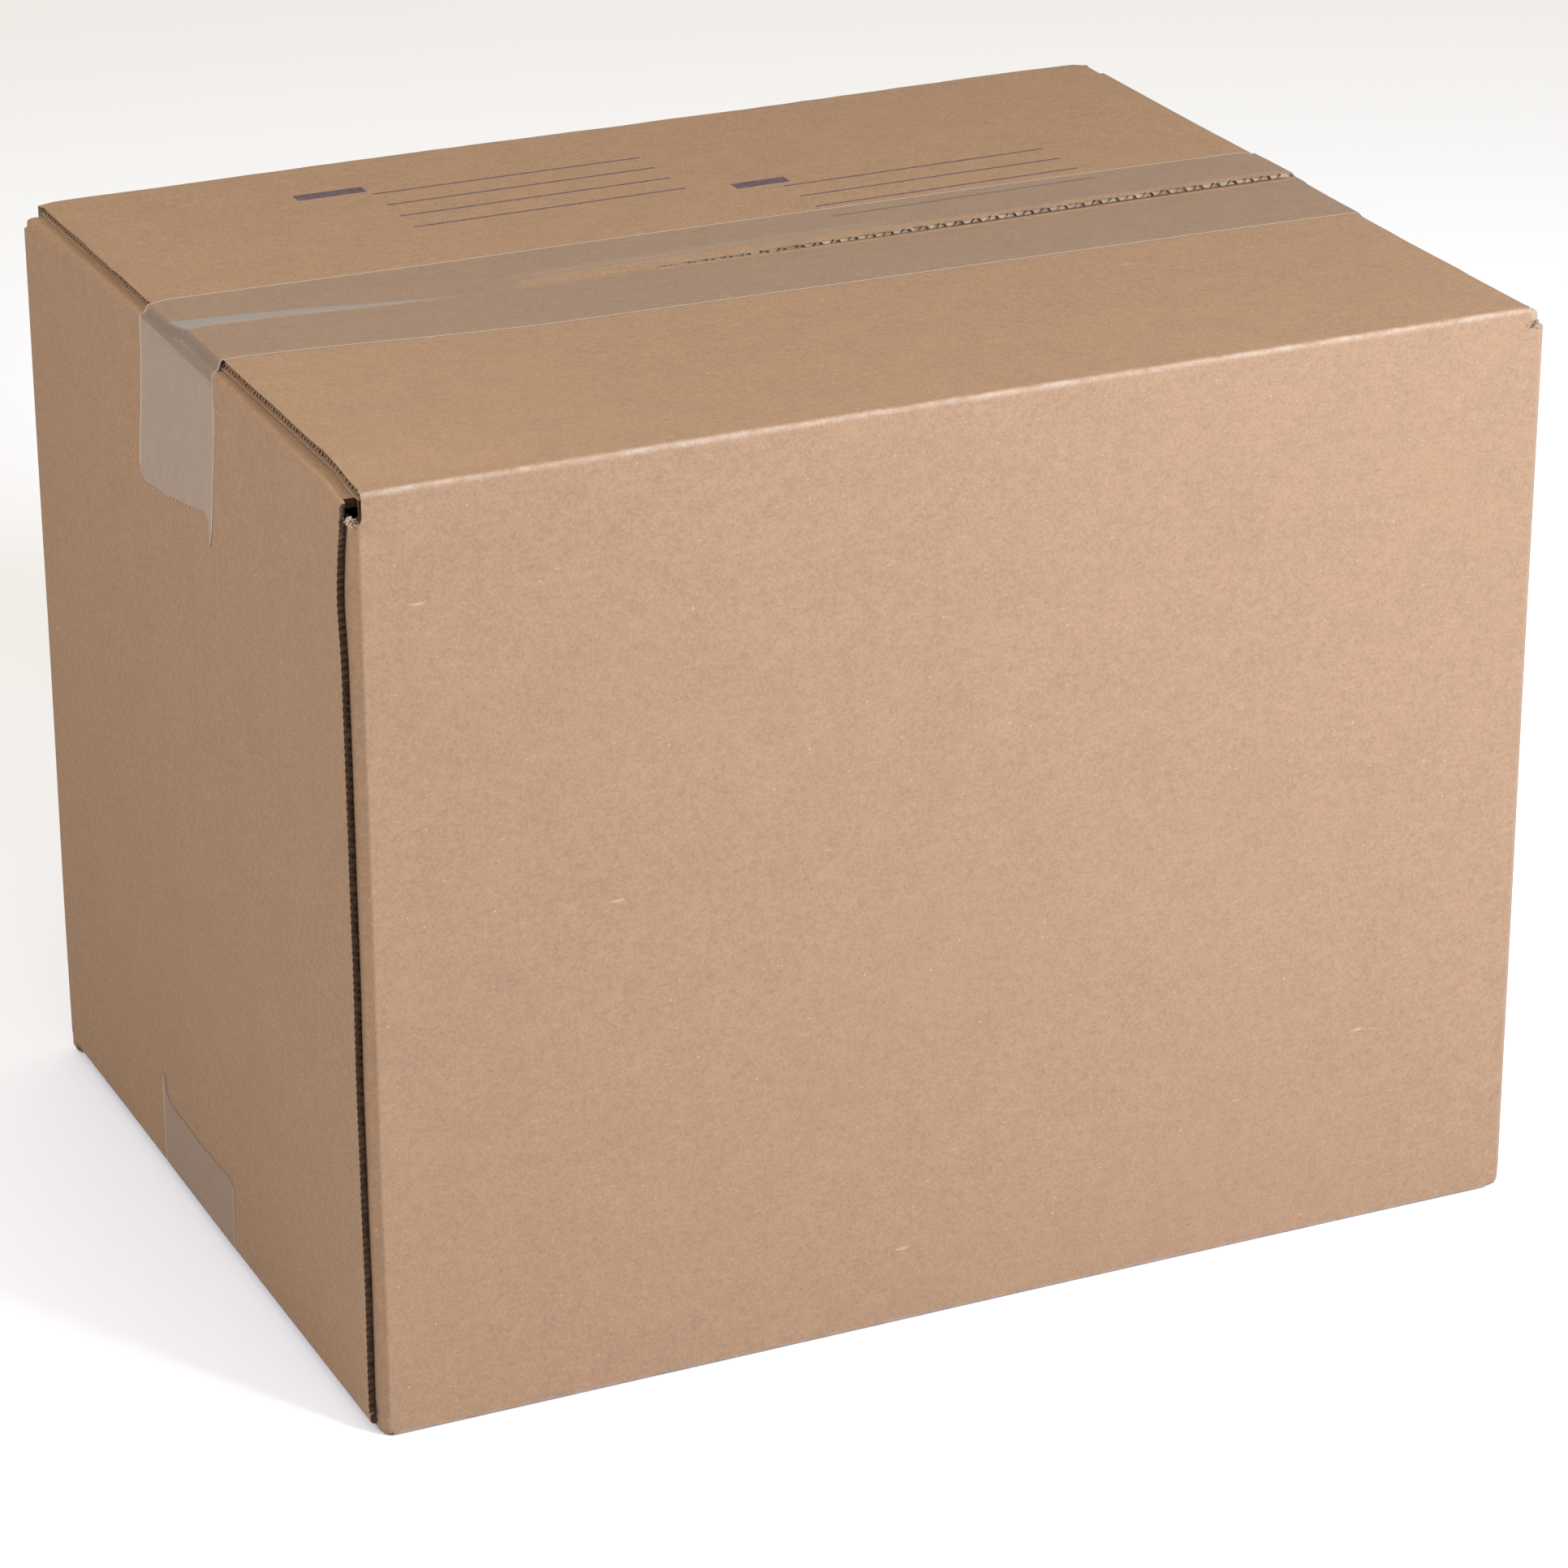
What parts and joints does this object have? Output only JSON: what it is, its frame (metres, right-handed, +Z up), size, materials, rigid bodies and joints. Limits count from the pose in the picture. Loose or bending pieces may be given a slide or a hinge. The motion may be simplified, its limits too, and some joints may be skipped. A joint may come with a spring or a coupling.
{
  "type": "closed corrugated shipping carton",
  "caption": "Closed slotted shipping carton of corrugated kraft board, with a glued corner joint and clear tape over the top and bottom seams.",
  "frame": {"origin": "centre of the base, on the surface that the carton stands on", "axes": "+X along the carton's length to the right, +Y from the front panel to the back panel, +Z up"},
  "size_m": [0.4122, 0.311, 0.3198],
  "materials": {
    "kraft_board": "matt unbleached kraft liner, lightly mottled",
    "clear_tape": "clear glossy film"
  },
  "bodies": {
    "root": {"carton": "kraft_board", "top_tape": "clear_tape", "bottom_tape": "clear_tape"}
  },
  "joints": []
}
